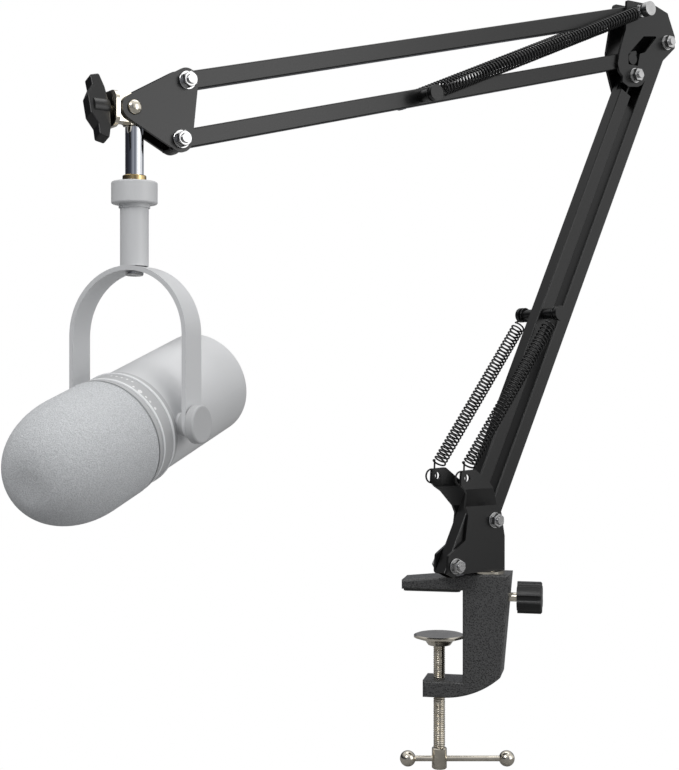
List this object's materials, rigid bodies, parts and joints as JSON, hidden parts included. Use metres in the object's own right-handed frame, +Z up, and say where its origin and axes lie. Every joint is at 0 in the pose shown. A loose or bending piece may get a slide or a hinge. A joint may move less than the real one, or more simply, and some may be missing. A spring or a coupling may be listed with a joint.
{
  "type": "microphone on desk boom arm",
  "caption": "Studio microphone in a forked yoke, hung from a sprung scissor boom arm that clamps to a desk edge",
  "frame": {"origin": "on the desk top, under the upper jaw, on the axis of the clamp screw", "axes": "+Z up; +X along the jaws, from their open tips towards the post; -Y to the front side, where the microphone hangs"},
  "size_m": [0.348, 0.4147, 0.5298],
  "materials": {
    "cast_black": "black crinkle powder coat on a cast clamp",
    "coat_black": "satin black powder coat",
    "nickel": "warm nickel plate",
    "zinc": "bright zinc plate",
    "chrome": "polished chrome",
    "brass": "bright brass",
    "spring_black": "black oxide spring wire",
    "black_plastic": "moulded black plastic",
    "pad_rubber": "thin black rubber sheet",
    "grey_metal": "pale grey satin paint",
    "grey_plastic": "pale grey moulded plastic",
    "foam": "open-cell pale grey foam",
    "mesh": "woven steel basket",
    "board": "green circuit board"
  },
  "bodies": {
    "clamp": {"clamp_frame": "cast_black", "jaw_pad": "pad_rubber", "swivel_bush": "nickel"},
    "lock": {"lock_screw": "nickel", "lock_knob": "black_plastic"},
    "pad": {"press_pad": "nickel"},
    "screw": {"clamp_screw": "nickel"},
    "tommy": {"tommy_bar": "nickel", "tommy_ball_ends": "nickel"},
    "bracket": {"base_bracket": "coat_black", "swivel_pin": "nickel", "base_bolts": "zinc", "base_nuts_and_washers": "zinc", "lower_spring_front": "spring_black", "lower_spring_rear": "spring_black"},
    "lower_arm": {"lower_inner_bar": "coat_black", "lower_spring_pin": "coat_black"},
    "lower_link": {"lower_outer_bar": "coat_black"},
    "elbow": {"elbow_front_plate": "coat_black", "elbow_rear_plate": "coat_black", "elbow_pin": "coat_black", "elbow_bolts": "zinc", "elbow_nuts_and_washers": "zinc", "upper_spring_front": "spring_black", "upper_spring_rear": "spring_black"},
    "upper_arm": {"upper_bottom_bar": "coat_black", "upper_spring_pin": "coat_black"},
    "upper_link": {"upper_top_bar": "coat_black"},
    "head": {"head_front_plate": "coat_black", "head_rear_plate": "coat_black", "head_bolts": "zinc", "head_nuts_and_washers": "zinc"},
    "knuckle": {"knuckle": "nickel", "knuckle_flange": "nickel", "head_rivets": "nickel"},
    "wing": {"wing_screw": "nickel", "wing_knob": "black_plastic"},
    "yoke": {"mic_post": "chrome", "thread_adapter": "brass", "yoke_collar": "grey_metal", "yoke_stem": "grey_metal", "yoke_band": "grey_metal", "yoke_screw": "zinc", "yoke_washers": "grey_plastic"},
    "knob_right": {"yoke_knob_right": "grey_plastic"},
    "knob_left": {"yoke_knob_left": "grey_plastic"},
    "mic": {"body_tube": "grey_metal", "rear_cap": "grey_metal", "xlr_socket": "nickel", "usb_socket": "nickel", "headphone_socket": "black_plastic", "control_ring": "grey_plastic", "ring_trims": "grey_metal", "foam_stop": "grey_plastic", "grille_basket": "mesh", "capsule": "nickel", "capsule_mount": "black_plastic", "circuit_board": "board"},
    "foam": {"foam_windscreen": "foam"}
  },
  "joints": [
    {"name": "base_swivel", "type": "hinge", "parent": "clamp", "child": "bracket", "pos_m": [0.032, 0, 0.012], "axis": [0, 0, 1], "range_deg": [-180, 180]},
    {"name": "lower_arm_tilt", "type": "hinge", "parent": "bracket", "child": "lower_arm", "pos_m": [0.00949, -0.02414, 0.0193], "axis": [0.7314, -0.682, 0], "range_deg": [-8, 55], "deforming": ["lower_spring_front", "lower_spring_rear"]},
    {"name": "lower_link_tilt", "type": "hinge", "parent": "bracket", "child": "lower_link", "pos_m": [0.032, 0, 0.0473], "axis": [0.7314, -0.682, 0], "range_deg": [-8, 55]},
    {"name": "elbow_level", "type": "hinge", "parent": "lower_arm", "child": "elbow", "pos_m": [0.12231, 0.09684, 0.35696], "axis": [0.7314, -0.682, 0], "range_deg": [-55, 8]},
    {"name": "upper_arm_tilt", "type": "hinge", "parent": "elbow", "child": "upper_arm", "pos_m": [0.12129, 0.09575, 0.36896], "axis": [0.7314, -0.682, 0], "range_deg": [-45, 30], "deforming": ["upper_spring_front", "upper_spring_rear"]},
    {"name": "upper_link_tilt", "type": "hinge", "parent": "elbow", "child": "upper_link", "pos_m": [0.12381, 0.09845, 0.40246], "axis": [0.7314, -0.682, 0], "range_deg": [-45, 30]},
    {"name": "head_level", "type": "hinge", "parent": "upper_arm", "child": "head", "pos_m": [-0.12687, -0.17036, 0.27418], "axis": [0.7314, -0.682, 0], "range_deg": [-30, 45]},
    {"name": "knuckle_tilt", "type": "hinge", "parent": "head", "child": "knuckle", "pos_m": [-0.14664, -0.19157, 0.28888], "axis": [0.7314, -0.682, 0], "range_deg": [-70, 15]},
    {"name": "post_turn", "type": "hinge", "parent": "knuckle", "child": "yoke", "pos_m": [-0.14426, -0.18901, 0.28888], "axis": [0, 0, 1], "range_deg": [-175, 175]},
    {"name": "wing_knob_turn", "type": "hinge", "parent": "knuckle", "child": "wing", "pos_m": [-0.14664, -0.19157, 0.28738], "axis": [-0.682, -0.7314, 0], "range_deg": [0, 720]},
    {"name": "mic_tilt", "type": "hinge", "parent": "yoke", "child": "mic", "pos_m": [-0.14426, -0.18901, 0.11488], "axis": [0.9703, -0.2419, 0], "range_deg": [-60, 40]},
    {"name": "yoke_knob_right_turn", "type": "hinge", "parent": "yoke", "child": "knob_right", "pos_m": [-0.14426, -0.18901, 0.11488], "axis": [0.9703, -0.2419, 0], "range_deg": [0, 360]},
    {"name": "yoke_knob_left_turn", "type": "hinge", "parent": "yoke", "child": "knob_left", "pos_m": [-0.14426, -0.18901, 0.11488], "axis": [-0.9703, 0.2419, 0], "range_deg": [0, 360]},
    {"name": "foam_slide", "type": "slide", "parent": "mic", "child": "foam", "axis": [-0.2307, -0.9254, -0.3007], "range_m": [0, 0.075]},
    {"name": "pad_travel", "type": "slide", "parent": "clamp", "child": "pad", "axis": [0, 0, 1], "range_m": [-0.0201, 0.0281]},
    {"name": "screw_turn", "type": "hinge", "parent": "pad", "child": "screw", "pos_m": [0, 0, -0.06], "axis": [0, 0, 1], "range_deg": [-5760, 8064]},
    {"name": "tommy_slide", "type": "slide", "parent": "screw", "child": "tommy", "axis": [0.9781, 0.2079, 0], "range_m": [-0.034, 0.01]},
    {"name": "lock_knob_turn", "type": "hinge", "parent": "clamp", "child": "lock", "pos_m": [0.032, 0, -0.0037], "axis": [1, 0, 0], "range_deg": [0, 720]}
  ],
  "couplings": [
    {"joint": "lower_link_tilt", "follows": "lower_arm_tilt", "ratio": 1},
    {"joint": "elbow_level", "follows": "lower_arm_tilt", "ratio": -1},
    {"joint": "upper_link_tilt", "follows": "upper_arm_tilt", "ratio": 1},
    {"joint": "head_level", "follows": "upper_arm_tilt", "ratio": -1},
    {"joint": "pad_travel", "follows": "screw_turn", "m_per_rad": 0.00019894}
  ]
}
